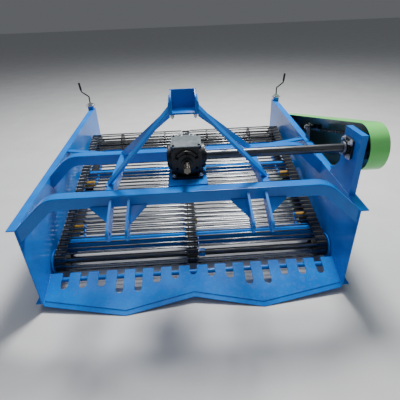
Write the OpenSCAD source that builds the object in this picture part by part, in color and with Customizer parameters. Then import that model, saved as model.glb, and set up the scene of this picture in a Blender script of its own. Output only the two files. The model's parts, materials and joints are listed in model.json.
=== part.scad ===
// Root crop harvester: a mounted digger whose share lifts the ridge onto an endless web of
// steel rods between two side plates. Sizes are in millimetres. Everything is laid out from
// the front edge of the side plates, at ground level and on the centre line: X to the right
// seen from the tractor, Y to the rear, Z up.

/* [Sides] */
// Width over the outer faces of the side plates
work_width = 1800; // [1700:10:1950]
// Thickness of each side plate
side_t = 6; // [5:0.5:8]
// Length of the side plates behind the web's drive shaft
side_tail = 357; // [340:1:400]
// Height of the plates' bottom edge above the ground
side_bottom = 50; // [45:1:60]
// Height of the front edge of each side plate
side_front_height = 528; // [515:1:540]
// Height of the rear top corner above the ground
side_rear_top = 707; // [690:1:720]
// Height of the rear bottom corner above the ground
side_rear_bottom = 250; // [200:5:280]
// Length of the level skid along the bottom edge
skid_length = 620; // [500:10:700]
// Width of the top flange
flange_width = 42; // [38:1:46]
// Thickness of the top flange and of the skid
flange_t = 6; // [5:0.5:8]
// Width of the skid
skid_width = 35; // [25:1:45]

/* [Beams] */
// Side of the square tube of the arched beams
beam_size = 65; // [60:1:70]
// Height of the arched beams' top face
beam_top = 743; // [730:1:760]
// Slope of the beams' ends
beam_slope = 42; // [38:1:48]
// Outer radius of the beams' bends
beam_bend = 160; // [130:5:180]
// Distance of the front beam from the plates' front edge
front_beam_y = 8; // [4:1:14]
// Distance of the rear beam from the plates' front edge
rear_beam_y = 560; // [540:5:580]
// Width of the rails' tube
rail_w = 36; // [34:1:40]
// Height of the rails' tube
rail_h = 60; // [55:1:65]
// Distance of each rail from the centre line
rail_x = 403; // [398:1:408]
// Width of the flat bars of the mast's stays and the braces
flat_w = 50; // [40:1:60]
// Width of the flat bars of the mast's legs
leg_bar_w = 46; // [42:1:52]
// Thickness of the flat bars
flat_t = 12; // [10:1:14]

/* [Hitch] */
// Distance between the middles of the two lower hitch points
lower_spread = 683; // [670:1:700]
// Gap between the two plates of a lower hitch point
lug_gap = 78; // [60:1:84]
// Thickness of the hitch plates
lug_t = 12; // [10:1:14]
// Height of the lower hitch pins
lower_pin_z = 622; // [612:1:632]
// Distance of the lower hitch pins ahead of the plates' front edge
lower_pin_front = 140; // [130:1:150]
// Radius of the nose around a lower hitch hole
lug_nose = 36; // [34:1:38]
// Diameter of the lower hitch holes
lower_hole_d = 22.6; // [22:0.1:25]
// Height of the top link hole
top_pin_z = 1176; // [1172:1:1182]
// Distance of the top link hole behind the plates' front edge
top_pin_y = 24; // [20:1:30]
// Diameter of the top link hole
top_hole_d = 19.6; // [19:0.1:22]
// Width over the top link bracket
bracket_width = 116; // [112:1:122]
// Thickness of the top link bracket's plates
bracket_t = 8; // [7:0.5:9]

/* [Drive] */
// Distance of the cross drive shaft from the plates' front edge
drive_y = 250; // [240:1:260]
// Height of the cross drive shaft
drive_z = 834; // [828:1:838]
// Diameter of the cross drive shaft's tube
shaft_d = 48; // [44:1:52]
// Diameter of the input shaft
input_d = 34.9; // [34:0.1:36]
// Width of the gearbox body
gearbox_w = 156; // [150:2:164]
// Length of the gearbox body
gearbox_l = 190; // [184:2:196]
// Teeth of the sprocket on the cross shaft
upper_teeth = 15; // [13:1:17]
// Teeth of the sprocket on the web's drive shaft
lower_teeth = 23; // [21:1:25]
// Pitch of the drive chain
chain_pitch = 25.4; // [25.4:0.1:26]
// Distance of the chain's middle from the centre line
chain_x = 990; // [986:1:994]
// Radius of the guard around the upper sprocket
guard_front_r = 130; // [120:1:134]
// Radius of the guard around the lower sprocket
guard_rear_r = 210; // [150:1:214]
// Thickness of the guard's sheet
guard_t = 3; // [2:0.5:4]
// Distance of the guard's outer face from the centre line
guard_outer_x = 1050; // [1046:1:1056]

/* [Web] */
// Distance of the idler shaft from the plates' front edge
idler_y = 285; // [282:1:290]
// Height of the idler shaft
idler_z = 135; // [132:1:140]
// Radius of the idler pulleys under the belts
idler_r = 56; // [54:1:58]
// Rise of the line between the idler shaft and the drive shaft
web_rise = 12.5; // [12:0.1:13]
// Number of rods round the web
rods = 77; // [76:1:78]
// Distance between the rods along the web
rod_pitch = 42.3; // [42:0.1:42.6]
// Diameter of the rods
rod_d = 11; // [10:0.5:12]
// Rods carried on one turn of the drive wheels
drive_teeth = 15; // [15:1:15]
// Thickness of the belts
belt_t = 8; // [6:0.5:9]
// Width of the belts
belt_w = 65; // [60:1:70]
// Gap between the web and each side plate
web_gap = 18; // [16:1:24]
// Thickness of the rods' flattened ends
tab_t = 4; // [3:0.5:5]
// Clearance left where one piece seats on another
seat = 0.2; // [0.1:0.05:0.3]

/* [Share] */
// Thickness of the share
share_t = 8; // [6:1:10]
// Slope of the share
share_slope = 21.3; // [20:0.1:22]
// Distance of the share's points ahead of the side plates
share_point = 82; // [75:1:90]
// Distance of each point from the centre line
share_point_x = 405; // [380:5:430]
// Distance of the share's rear edge behind the plates' front edge
share_rear = 192; // [188:1:194]
// Width of the slots in the share
slot_w = 46; // [40:1:50]
// Distance between the slots
slot_pitch = 113.8; // [112:0.1:115]
// Diameter of the bar below the share
share_bar_d = 30; // [24:1:32]

/* [Cross members] */
// Side of the main cross tube inside the web
main_tube_size = 75; // [70:1:78]
// Side of the rear cross tube inside the web
rear_tube_size = 50; // [45:1:52]
// Side of the tail tube between the plates' rear ends
tail_tube_size = 60; // [50:1:70]

/* [Depth wheels] */
// Diameter of the depth wheels
wheel_d = 350; // [330:2:354]
// Width of the depth wheels
wheel_w = 110; // [100:2:114]
// Distance of the wheels' legs ahead of the plates' rear edge
leg_inset = 50; // [40:1:60]
// Distance of the wheels' axles behind their legs
wheel_trail = 65; // [60:1:80]
// Side of the sleeves that hold the wheel legs
sleeve_size = 50; // [48:1:56]
// Side of the wheel legs
leg_size = 40; // [36:1:40]
// Diameter of the wheel axles
axle_d = 30; // [28:1:34]

/* [Hidden] */
$fn = 48;

blue = "#1785e6";
steel = "#b9bcc0";
iron = "#24272b";
rubber = "#26282c";
green = "#86e08c";
yellow = "#e8b72c";
zinc = "#c9cdd0";

half = work_width / 2;
inner = half - side_t;

// The web runs round the idler and a larger drive roller; its length is a whole number of
// rods, and the drive roller's radius is a whole number of rods as well.
web_x = inner - web_gap;
drive_rod_r = drive_teeth * rod_pitch / (2 * PI);
drive_r = drive_rod_r - rod_d / 2 - belt_t;
idler_rod_r = idler_r + belt_t + rod_d / 2;
radius_step = drive_rod_r - idler_rod_r;
function wrap(run) = PI * atan(radius_step / run) / 90;
function next_run(run) =
    (rods * rod_pitch - drive_rod_r * (PI + wrap(run)) - idler_rod_r * (PI - wrap(run))) / 2;
web_run = next_run(next_run(next_run(rods * rod_pitch * 0.42)));
web_centres = sqrt(web_run * web_run + radius_step * radius_step);
web_lean = atan(radius_step / web_run);
roller_y = idler_y + web_centres * cos(web_rise);
roller_z = idler_z + web_centres * sin(web_rise);
side_length = roller_y + side_tail;

// The origin is on the ground in the middle of the whole machine.
front_most = lower_pin_front + lug_nose;
leg_y = side_length - leg_inset;
wheel_y = leg_y + wheel_trail;
rear_most = wheel_y + wheel_d / 2;
mid_y = (rear_most - front_most) / 2;
module machine() translate([0, -mid_y, 0]) children();

// Profiles drawn in the plane seen from the side, or from the front, and given a thickness.
module side_profile(x, t) translate([x, 0, 0]) rotate([90, 0, 90]) linear_extrude(t) children();
module front_profile(y, t) translate([0, y + t, 0]) rotate([90, 0, 0]) linear_extrude(t) children();
module cross_rod(y, z, r, x1, x2) translate([x1, y, z]) rotate([0, 90, 0]) cylinder(r = r, h = x2 - x1);
module both_sides() { children(); mirror([1, 0, 0]) children(); }

side_front_top = side_bottom + side_front_height;
function side_top(y) = side_front_top + (side_rear_top - side_front_top) * y / side_length;

module along_web() translate([0, idler_y, idler_z]) rotate([web_rise, 0, 0]) children();

// The outline of a band round two pulleys, seen from the side: the first pulley at the
// origin, the second at a distance, both strands straight.
function arc(r, x, from, to) =
    [for (i = [0 : 32]) let (a = from + (to - from) * i / 32) [x + r * cos(a), r * sin(a)]];
module band_outline(r1, r2, distance) {
    lean = asin((r2 - r1) / distance);
    polygon(concat(arc(r1, 0, 90 + lean, 270 - lean), arc(r2, distance, -90 - lean, 90 + lean)));
}

module side_plate() {
    side_profile(inner, side_t) difference() {
        polygon([[0, side_bottom], [skid_length, side_bottom], [side_length, side_rear_bottom],
            [side_length, side_rear_top], [0, side_front_top]]);
        translate([idler_y, idler_z]) circle(shaft_hole_r);
        translate([roller_y, roller_z]) circle(shaft_hole_r);
    }
    side_profile(half, flange_width) polygon([[0, side_front_top - flange_t],
        [flange_end, side_top(flange_end) - flange_t],
        [flange_end, side_top(flange_end)], [0, side_front_top]]);
    side_profile(half, skid_width) translate([0, side_bottom]) square([skid_length, flange_t]);
}
shaft_hole_r = 24;
stub_r = 17.5;
bore_r = stub_r + 0.1;
flange_end = leg_y - sleeve_size / 2 - 5;
module side_left() color(blue) machine() mirror([1, 0, 0]) side_plate();
module side_right() color(blue) machine() side_plate();

// An arched square tube: level in the middle, bent down to the side plates at both ends.
module arched_beam(y, end_top) {
    shoulder_x = inner - (beam_top - end_top) / tan(beam_slope);
    bend_x = shoulder_x - beam_bend * tan(beam_slope / 2);
    bend_z = beam_top - beam_bend;
    drop = tan(beam_slope);
    // Half of the outer or the inner edge, from the middle of the bend's radius r to the plate.
    function bend(r) =
        [for (i = [0 : 12]) let (a = 90 - beam_slope * i / 12) [bend_x + r * cos(a), bend_z + r * sin(a)]];
    function at_plate(p) = [inner, p.y - (inner - p.x) * drop];
    outer = bend(beam_bend);
    under = bend(beam_bend - beam_size);
    half_outline = concat(outer, [at_plate(outer[12]), at_plate(under[12])],
        [for (i = [12 : -1 : 0]) under[i]]);
    front_profile(y, beam_size)
        polygon(mirrored(half_outline));
}
module front_beam() color(blue) machine() arched_beam(front_beam_y, side_front_top);
module rear_beam() color(blue) machine() arched_beam(rear_beam_y, side_top(rear_beam_y) + flange_t / 2);

// Flat bars from the rear beam back to the side plates.
brace_t = 8;
brace_x = 530;
brace_run = 355;
module beam_braces() color(blue) machine() both_sides() {
    beam_back = rear_beam_y + beam_size;
    end_y = beam_back + brace_run;
    difference() {
        flat_bar([brace_x - 40, beam_back - 40, beam_top - 4],
            [inner + 40, end_y + 36, side_top(end_y) - 24], brace_t);
        translate([inner, 0, 0]) cube([half, side_length, 2 * beam_top]);
        cube([half, beam_back, 2 * beam_top]);
    }
}

// A flat bar from one point to another: its broad face looks up and its edges are level.
module flat_bar(from, to, t) {
    run = [to.x - from.x, to.y - from.y, to.z - from.z];
    level = norm([run.x, run.y]);
    translate(from) rotate([0, 0, atan2(run.y, run.x)]) rotate([0, -atan2(run.z, level), 0])
        translate([0, -flat_w / 2, -t / 2]) cube([norm(run), flat_w, t]);
}

module rails() color(blue) machine() both_sides()
    translate([rail_x - rail_w / 2, front_beam_y + beam_size, beam_top - rail_h])
        cube([rail_w, rear_beam_y - front_beam_y - beam_size, rail_h]);

// The share: a sloping plate with two points, open slots towards the web.
share_run = (share_rear + share_point) / cos(share_slope);
share_side = share_point / cos(share_slope);
bevel = 30;
// Slot lengths from the centre slot outwards.
slot_lengths = [64, 85, 104, 152, 155, 106, 108, 109];
module share_plan(cut) polygon([[-inner, share_side + cut], [-share_point_x, cut], [0, share_side + cut],
    [share_point_x, cut], [inner, share_side + cut], [inner, share_run], [-inner, share_run]]);
module share() color(blue) machine()
    translate([0, -share_point, 0]) rotate([share_slope, 0, 0]) difference() {
    union() {
        linear_extrude(share_t) share_plan(bevel);
        linear_extrude(share_t / 2) share_plan(0);
    }
    for (i = [-7 : 7]) translate([i * slot_pitch, share_run - slot_lengths[abs(i)] + slot_w / 2, -1]) {
        cylinder(d = slot_w, h = share_t + 2);
        translate([-slot_w / 2, 0, 0]) cube([slot_w, share_run, share_t + 2]);
    }
}
share_bar_y = 165;
share_bar_z = (share_bar_y + share_point) * tan(share_slope) - share_bar_d / 2 / cos(share_slope) - 0.1;
module share_bar() color(blue) machine() cross_rod(share_bar_y, share_bar_z, share_bar_d / 2, -inner, inner);

// Square tubes between the side plates, inside the web and behind it.
main_tube_y = idler_y + 100;
main_tube_z = idler_z - 12;
rear_tube_y = idler_y + 815;
rear_tube_z = idler_z + 189;
tail_y = leg_y - 80;
tail_z = side_rear_bottom + 22;
module cross_tube(y, z, size) translate([-inner, y, z]) cube([2 * inner, size, size]);
module main_cross_tube() color(blue) machine() cross_tube(main_tube_y, main_tube_z, main_tube_size);
module rear_cross_tube() color(blue) machine() cross_tube(rear_tube_y, rear_tube_z, rear_tube_size);
module tail_tube() color(blue) machine() cross_tube(tail_y, tail_z, tail_tube_size);

// Top link bracket: a box of plates, open in front and above, with thicker cheeks below.
cheek_t = 6;
cheek_x = bracket_width / 2 + cheek_t;
bracket_front = top_pin_y - 44;
bracket_back = bracket_front + 100;
bracket_base = top_pin_z - 43;
module top_link_bracket() color(blue) machine() difference() {
    union() {
        both_sides() side_profile(bracket_width / 2 - bracket_t, bracket_t)
            polygon([[bracket_front, bracket_base], [bracket_back, bracket_base],
                [bracket_back, bracket_base + 88], [bracket_front + 14, bracket_base + 72],
                [bracket_front, bracket_base + 58]]);
        both_sides() side_profile(bracket_width / 2, cheek_t)
            polygon([[bracket_front, bracket_base], [bracket_back, bracket_base],
                [bracket_back, bracket_base + 64], [bracket_front, bracket_base + 54]]);
        translate([-bracket_width / 2, bracket_front, bracket_base])
            cube([bracket_width, bracket_back - bracket_front, bracket_t]);
        translate([-bracket_width / 2, bracket_back - bracket_t, bracket_base])
            cube([bracket_width, bracket_t, 88]);
    }
    cross_rod(top_pin_y, top_pin_z, top_hole_d / 2, -2 * cheek_x, 2 * cheek_x);
}

// Mast legs down to the rails and stays back to the rear beam. Each is a flat bar whose broad
// face looks outward, given by one edge: the front edge of a leg, the upper edge of a stay.
leg_head = [cheek_x, bracket_front + 20, bracket_base + 17];
leg_foot = [rail_x + 15, front_beam_y + beam_size + 52, beam_top];
stay_head = [cheek_x, bracket_back, bracket_base + 12];
stay_foot = [rail_x + 18, rear_beam_y + 30, beam_top];
stay_bar_w = 42;
module along_bar(head, foot) {
    run = foot - head;
    translate(head) rotate([atan2(run.y, -run.z), 0, 0]) rotate([0, acos(run.x / norm(run)), 0]) children();
}
// All that lies in front of a leg's rear edge.
module before_leg() along_bar(leg_head, leg_foot)
    translate([-half, -half, -half]) cube([2 * half, half + leg_bar_w + seat, 2 * half]);
module mast_cuts() {
    translate([0, -half, 0]) cube([cheek_x + seat, work_width, 2 * top_pin_z]);
    translate([0, -half, 0]) cube([half, work_width, beam_top + seat]);
}
module mast_legs() color(blue) machine() both_sides() difference() {
    along_bar(leg_head, leg_foot) translate([-60, 0, -flat_t])
        cube([norm(leg_foot - leg_head) + 120, leg_bar_w, flat_t]);
    mast_cuts();
}
module mast_stays() color(blue) machine() both_sides() difference() {
    along_bar(stay_head, stay_foot) translate([-60, -stay_bar_w, -flat_t])
        cube([norm(stay_foot - stay_head) + 120, stay_bar_w, flat_t]);
    mast_cuts();
    before_leg();
}

// One lower hitch point: two bars that run forward and down from the front beam, with gussets
// that slope the same way.
gusset_outer = 100;
gusset_inner = 78;
gusset_l = 96;
gusset_t = 8;
gusset_slope = 38;
module hitch_outline() difference() {
    union() {
        translate([-lower_pin_front, lower_pin_z]) circle(lug_nose);
        polygon([[front_beam_y, beam_top - 20], [-lower_pin_front - 14, lower_pin_z + lug_nose - 3],
            [-lower_pin_front + 13, lower_pin_z - lug_nose + 2.5], [front_beam_y + 38, beam_top - beam_size],
            [front_beam_y, beam_top - beam_size]]);
    }
    translate([-lower_pin_front, lower_pin_z]) circle(d = lower_hole_d);
}
module hitch_point() {
    middle = lower_spread / 2;
    for (side = [-1, 1]) {
        side_profile(middle + side * (lug_gap + lug_t) / 2 - lug_t / 2, lug_t) hitch_outline();
        reach = side * (side > 0 ? gusset_outer : gusset_inner);
        translate([middle + side * (lug_gap / 2 + lug_t), front_beam_y - gusset_t * sin(gusset_slope) - seat,
            beam_top - beam_size + 10])
            rotate([gusset_slope, 0, 0]) translate([0, 0, -gusset_t]) linear_extrude(gusset_t)
                polygon([[0, 0], [reach, 0], [reach, -6], [0, -gusset_l]]);
    }
}
module hitch_plates_left() color(blue) machine() mirror([1, 0, 0]) hitch_point();
module hitch_plates_right() color(blue) machine() hitch_point();

// Gearbox cradle: two plates on edge between the beams and a base plate across them, which
// runs forward to the front beam.
cradle_x = 102;
cradle_t = 10;
base_t = 12;
gearbox_half_h = 84;
base_top = drive_z - gearbox_half_h;
cradle_front = front_beam_y + beam_size;
module gearbox_cradle() color(blue) machine() {
    cradle_top = base_top - base_t;
    both_sides() translate([cradle_x - cradle_t, cradle_front, cradle_top - 55])
        cube([cradle_t, rear_beam_y - cradle_front, 55]);
    translate([-cradle_x, cradle_front, cradle_top])
        cube([2 * cradle_x, drive_y + gearbox_l / 2 + 30 - cradle_front, base_t]);
}

// Right-angle gearbox: a cast body with ribs, housings for its three bearings and a foot.
cover_t = 8;
flange_h = 10;
foot_h = 16;
boss_r = 66;
shaft_start = gearbox_w / 2 + 30;
body_front = drive_y - gearbox_l / 2 + 8;
body_back = drive_y + gearbox_l / 2;
module gearbox() color(iron) machine() {
    body_top = drive_z + gearbox_half_h - cover_t;
    // Body and top flange, seen from the front, with their corners cut off.
    side = gearbox_w / 2;
    front_profile(body_front, body_back - body_front) polygon(mirrored([[side - 6, base_top],
        [side, base_top + 40], [side, body_top - 24], [side - 14, body_top - flange_h],
        [side - 14, body_top]]));
    translate([0, 0, body_top - flange_h]) linear_extrude(flange_h) cover_plan();
    translate([0, 0, base_top]) linear_extrude(foot_h) polygon(mirrored([[side - 12, body_front - 30],
        [side + 4, body_front - 14], [side + 4, body_back + 4], [side - 6, body_back + 14]]));
    // Housings of the cross shaft's bearings, stepped down to the seals.
    cross_rod(drive_y, drive_z, boss_r, -gearbox_w / 2 - 18, gearbox_w / 2 + 18);
    cross_rod(drive_y, drive_z, boss_r - 14, -gearbox_w / 2 - 26, gearbox_w / 2 + 22);
    cross_rod(drive_y, drive_z, boss_r - 32, 0, shaft_start);
    // Housing of the input shaft in front, and its rear bearing's cap.
    translate([0, body_front + 5, drive_z]) rotate([90, 0, 0]) {
        cylinder(r = boss_r, h = 18);
        cylinder(r = boss_r - 16, h = 25);
        cylinder(r = boss_r - 36, h = body_front + 5 - input_start);
        translate([0, 0, -gearbox_l + 8 - 12]) cylinder(r = boss_r - 10, h = 40);
    }
    // Ribs below the side housings and beside the front one.
    both_sides() for (y = [drive_y - 34, drive_y + 26])
        front_profile(y, 8) polygon([[side - 4, base_top + foot_h], [side + 3, base_top + foot_h],
            [side + 17, drive_z - 40], [side - 4, drive_z - 40]]);
    both_sides() side_profile(boss_r - 14, 8) polygon([[body_front + 2, base_top + foot_h],
        [body_front - 10, base_top + foot_h], [body_front - 10, drive_z],
        [body_front + 2, body_top - flange_h]]);
}
module cover_plan() polygon(mirrored([[gearbox_w / 2 - 12, body_front + 4],
    [gearbox_w / 2 + 2, body_front + 18], [gearbox_w / 2 + 2, body_back - 6],
    [gearbox_w / 2 - 12, body_back + 8]]));
module gearbox_cover() color(zinc) machine() difference() {
    translate([0, 0, drive_z + gearbox_half_h - cover_t]) linear_extrude(cover_t) cover_plan();
    both_sides() for (y = [body_front + 20, body_back - 8])
        translate([gearbox_w / 2 - 12, y, drive_z + gearbox_half_h - cover_t + 2])
            cylinder(d = 13, h = cover_t);
}
// An outline closed by its own mirror image across the centre line.
function mirrored(points) =
    concat(points, [for (i = [len(points) - 1 : -1 : 0]) [-points[i].x, points[i].y]]);

// Six-spline input shaft pointing at the tractor.
input_start = drive_y - 120;
input_l = 76;
module input_shaft() color(steel) machine() translate([0, input_start, drive_z]) rotate([90, 0, 0])
    difference() {
        cylinder(d = input_d, h = input_l);
        for (i = [0 : 5]) rotate(i * 60) translate([input_d / 2 - 2.5, -4.7, 12]) cube([5, 9.4, input_l]);
        translate([0, 0, input_l - 20]) difference() {
            cylinder(d = input_d + 6, h = 7);
            cylinder(d = input_d - 5.4, h = 7);
        }
    }

// Cross shaft from the gearbox to the sprocket outside the right side plate.
stand_x = half - 4;
stand_t = 8;
sprocket_t = 15;
module cross_shaft() color(iron) machine() {
    cross_rod(drive_y, drive_z, shaft_d / 2, shaft_start, stand_x - 26);
    cross_rod(drive_y, drive_z, stub_r, stand_x - 26, chain_x + sprocket_t / 2 + 14);
}
module stand_bearing() color(iron) machine() difference() {
    union() {
        side_profile(stand_x - 14, 14) translate([drive_y, drive_z]) flange_outline();
        cross_rod(drive_y, drive_z, 40, stand_x - 25, stand_x - 13);
    }
    cross_rod(drive_y, drive_z, bore_r, stand_x - 50, stand_x + 50);
}

// Stand on the right plate's top flange: a plate with a front flange and a widening foot.
stand_front = drive_y - 105;
stand_rear = drive_y + 75;
module bearing_stand() color(blue) machine() difference() {
    union() {
        side_profile(stand_x, stand_t) polygon([[stand_front, side_top(stand_front)],
            [stand_rear + 110, side_top(stand_rear + 110)], [stand_rear, drive_z - 110],
            [stand_rear, drive_z + 100], [stand_front, drive_z + 100]]);
        side_profile(stand_x, 36) polygon([[stand_front, side_top(stand_front)],
            [stand_front + stand_t, side_top(stand_front + stand_t)],
            [stand_front + stand_t, drive_z + 100 - stand_t], [stand_rear, drive_z + 100 - stand_t],
            [stand_rear, drive_z + 100], [stand_front, drive_z + 100]]);
    }
    cross_rod(drive_y, drive_z, 24, stand_x - 1, stand_x + stand_t + 1);
}

// Sprockets, chain and tensioner outside the right side plate.
function sprocket_r(teeth) = chain_pitch / (2 * sin(180 / teeth));
chain_centres = norm([roller_y - drive_y, roller_z - drive_z]);
chain_fall = atan2(drive_z - roller_z, roller_y - drive_y);
chain_half = 10;
module sprocket(teeth) rotate([0, 90, 0]) {
    r = sprocket_r(teeth) - chain_half - seat;
    translate([0, 0, chain_x - sprocket_t / 2]) cylinder(r = r, h = sprocket_t);
    translate([0, 0, chain_x - 22]) cylinder(r = 32, h = 44);
}
module upper_sprocket() color(iron) machine() difference() {
    translate([0, drive_y, drive_z]) sprocket(upper_teeth);
    cross_rod(drive_y, drive_z, bore_r, half, 2 * half);
}
module lower_sprocket() color(iron) machine() difference() {
    translate([0, roller_y, roller_z]) sprocket(lower_teeth);
    cross_rod(roller_y, roller_z, bore_r, half, 2 * half);
}
module along_chain() translate([0, drive_y, drive_z]) rotate([-chain_fall, 0, 0]) children();
module drive_chain() color(iron) machine() along_chain() side_profile(chain_x - 12, 24) difference() {
    band_outline(sprocket_r(upper_teeth) + chain_half, sprocket_r(lower_teeth) + chain_half, chain_centres);
    band_outline(sprocket_r(upper_teeth) - chain_half, sprocket_r(lower_teeth) - chain_half, chain_centres);
}
// Tensioner: a block that rides on the upper strand, on a plate above the top flange.
tensioner_y = 910;
block_l = 84;
block_h = 26;
tensioner_run = (tensioner_y - drive_y) / cos(chain_fall);
chain_spread = asin((sprocket_r(lower_teeth) - sprocket_r(upper_teeth)) / chain_centres);
strand_top = (sprocket_r(upper_teeth) + chain_half + tensioner_run * sin(chain_spread)) / cos(chain_spread);
function from_strand(up) = drive_z - tensioner_run * sin(chain_fall) + (strand_top + up) * cos(chain_fall);
tensioner_z = from_strand(1 + block_h / 2);
module chain_tensioner() color(iron) machine() {
    along_chain() side_profile(chain_x - 13, 26)
        translate([tensioner_run, strand_top + 1]) rotate(chain_spread)
        polygon([[-block_l / 2, 8], [10 - block_l / 2, 0], [block_l / 2 - 10, 0], [block_l / 2, 8],
            [block_l / 2, block_h], [-block_l / 2, block_h]]);
    y = tensioner_y + (strand_top + block_h / 2) * sin(chain_fall);
    cross_rod(y, tensioner_z, 8, half + 10, chain_x);
    cross_rod(y, tensioner_z, 16, half + 32, chain_x - 12);
    side_profile(half + 24, 8) polygon([[y - 50, side_top(y - 50)], [y + 50, side_top(y + 50)],
        [y + 26, tensioner_z - 10], [y + 18, tensioner_z + 24], [y - 18, tensioner_z + 24],
        [y - 26, tensioner_z - 10]]);
}

// Guard: a sheet channel round both sprockets, open towards the machine.
guard_inner_x = half + flange_width + 4;
module chain_guard() color(green) machine() along_chain() {
    side_profile(guard_outer_x - guard_t, guard_t) band_outline(guard_front_r, guard_rear_r, chain_centres);
    side_profile(guard_inner_x, guard_outer_x - guard_inner_x) difference() {
        band_outline(guard_front_r, guard_rear_r, chain_centres);
        band_outline(guard_front_r - guard_t, guard_rear_r - guard_t, chain_centres);
    }
}
// Brackets from the side plate to the guard's lower wall, the first one on the top flange.
guard_spread = asin((guard_rear_r - guard_front_r) / chain_centres);
function guard_floor(y) = drive_z - (guard_front_r - guard_t) / cos(chain_fall + guard_spread)
    - (y - drive_y) * tan(chain_fall + guard_spread);
strap_w = 40;
strap_t = 5;
module guard_bracket(y, foot_x, foot_front, foot_rear) {
    end = y + strap_w;
    top = guard_floor(y) + strap_t;
    end_top = guard_floor(end) + strap_t;
    side_profile(foot_x, guard_outer_x - 60 - foot_x)
        polygon([[y, top - strap_t + seat], [end, end_top - strap_t + seat], [end, end_top], [y, top]]);
    side_profile(foot_x, strap_t) polygon([[y, foot_front], [end, foot_rear], [end, end_top], [y, top]]);
}
module guard_brackets() color(blue) machine() {
    first = drive_y + 0.14 * (roller_y - drive_y);
    guard_bracket(first, half + 20, side_top(first), side_top(first + strap_w));
    for (share = [0.51, 0.84]) {
        y = drive_y + share * (roller_y - drive_y);
        guard_bracket(y, half, guard_floor(y) - 60, guard_floor(y) - 60);
    }
}

// Idler shaft with a pulley under each belt and a disc outside each outer belt.
belt_places = [-web_x + belt_w / 2, 0, web_x - belt_w / 2];
disc_r = idler_r + belt_t + rod_d + 5;
module idler_roller() color(iron) machine() {
    cross_rod(idler_y, idler_z, stub_r, -half - 34, half + 34);
    for (x = belt_places) cross_rod(idler_y, idler_z, idler_r - seat, x - belt_w / 2, x + belt_w / 2);
}
module idler_discs() color(blue) machine() both_sides() difference() {
    cross_rod(idler_y, idler_z, disc_r, web_x + 4, web_x + 10);
    cross_rod(idler_y, idler_z, bore_r, 0, half);
}

// Drive shaft with a drum under each belt and toothed wheels that push the rods.
module drive_roller() color(iron) machine() {
    cross_rod(roller_y, roller_z, stub_r, -half - 34, chain_x + sprocket_t / 2 + 14);
    cross_rod(roller_y, roller_z, 30, -web_x, web_x);
    for (x = belt_places) cross_rod(roller_y, roller_z, drive_r - seat, x - belt_w / 2, x + belt_w / 2);
    for (x = toothed_places) translate([0, roller_y, roller_z]) side_profile(x - 5, 10) difference() {
        circle(drive_rod_r + 1);
        for (i = [0 : drive_teeth - 1])
            rotate(web_rise + 90 + web_lean - first_notch - i * 360 / drive_teeth)
                translate([drive_rod_r, 0]) {
                    circle(d = rod_d + 1);
                    translate([0, -rod_d / 2 - 0.5]) square([20, rod_d + 1]);
                }
    }
}
// Wheels with a notch for each rod, beside the belts.
toothed_places = [-600, -200, 200, 600];
first_notch = (ceil(web_run / rod_pitch) * rod_pitch - web_run) / drive_rod_r * 180 / PI;

// A square flange with rounded corners, one bolt hole in each.
flange_side = 108;
flange_corner = 18;
flange_bolt = 39;
module flange_outline() difference() {
    at = flange_side / 2 - flange_corner;
    polygon([for (corner = [0 : 3], i = [0 : 6]) let (a = corner * 90 + i * 15)
        [flange_corner * cos(a) + at * (corner == 0 || corner == 3 ? 1 : -1),
            flange_corner * sin(a) + at * (corner < 2 ? 1 : -1)]]);
    for (turn = [0 : 3]) rotate(turn * 90) translate([flange_bolt, flange_bolt]) circle(6.5);
}
module roller_bearings() color(iron) machine() difference() {
    both_sides() for (place = [[idler_y, idler_z], [roller_y, roller_z]]) {
        side_profile(half, 13) translate(place) flange_outline();
        cross_rod(place[0], place[1], 38, half + 10, half + 28);
    }
    for (place = [[idler_y, idler_z], [roller_y, roller_z]])
        cross_rod(place[0], place[1], bore_r, -half - 60, half + 60);
}

// Three belts carry the rods, whose flattened ends seat on the belts.
module web_belts() color(rubber) machine() along_web() for (x = belt_places)
    side_profile(x - belt_w / 2, belt_w) difference() {
        band_outline(idler_r + belt_t, drive_r + belt_t, web_centres);
        band_outline(idler_r, drive_r, web_centres);
    }

// Place of a rod a given distance round the web: [along, up, turn], turn 0 on the top strand.
top_length = web_run;
drive_arc = drive_rod_r * (PI + wrap(web_run));
idler_arc = idler_rod_r * (PI - wrap(web_run));
function on_arc(centre, r, angle) = [centre - r * sin(angle), r * cos(angle), angle];
function rod_place(s) =
    s < top_length ? [-idler_rod_r * sin(web_lean) + s * cos(web_lean),
        idler_rod_r * cos(web_lean) + s * sin(web_lean), web_lean]
    : s < top_length + drive_arc
        ? on_arc(web_centres, drive_rod_r, web_lean - (s - top_length) / drive_rod_r * 180 / PI)
    : s < 2 * top_length + drive_arc ? bottom_place(s - top_length - drive_arc)
    : on_arc(0, idler_rod_r, 180 - web_lean - (s - 2 * top_length - drive_arc) / idler_rod_r * 180 / PI);
function bottom_place(s) = [web_centres - drive_rod_r * sin(web_lean) - s * cos(web_lean),
    -drive_rod_r * cos(web_lean) + s * sin(web_lean), 180 - web_lean];
tab_w = 22;
module web_rod() {
    translate([-web_x, 0, 0]) rotate([0, 90, 0]) rotate(22.5) cylinder(d = rod_d, h = 2 * web_x, $fn = 8);
    for (x = belt_places)
        translate([x - belt_w / 2, -tab_w / 2, -rod_d / 2 + seat]) cube([belt_w, tab_w, tab_t]);
}
module web_rods() color(steel) machine() along_web() for (i = [0 : rods - 1]) {
    place = rod_place(i * rod_pitch);
    translate([0, place[0], place[1]]) rotate([place[2], 0, 0]) web_rod();
}

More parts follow.
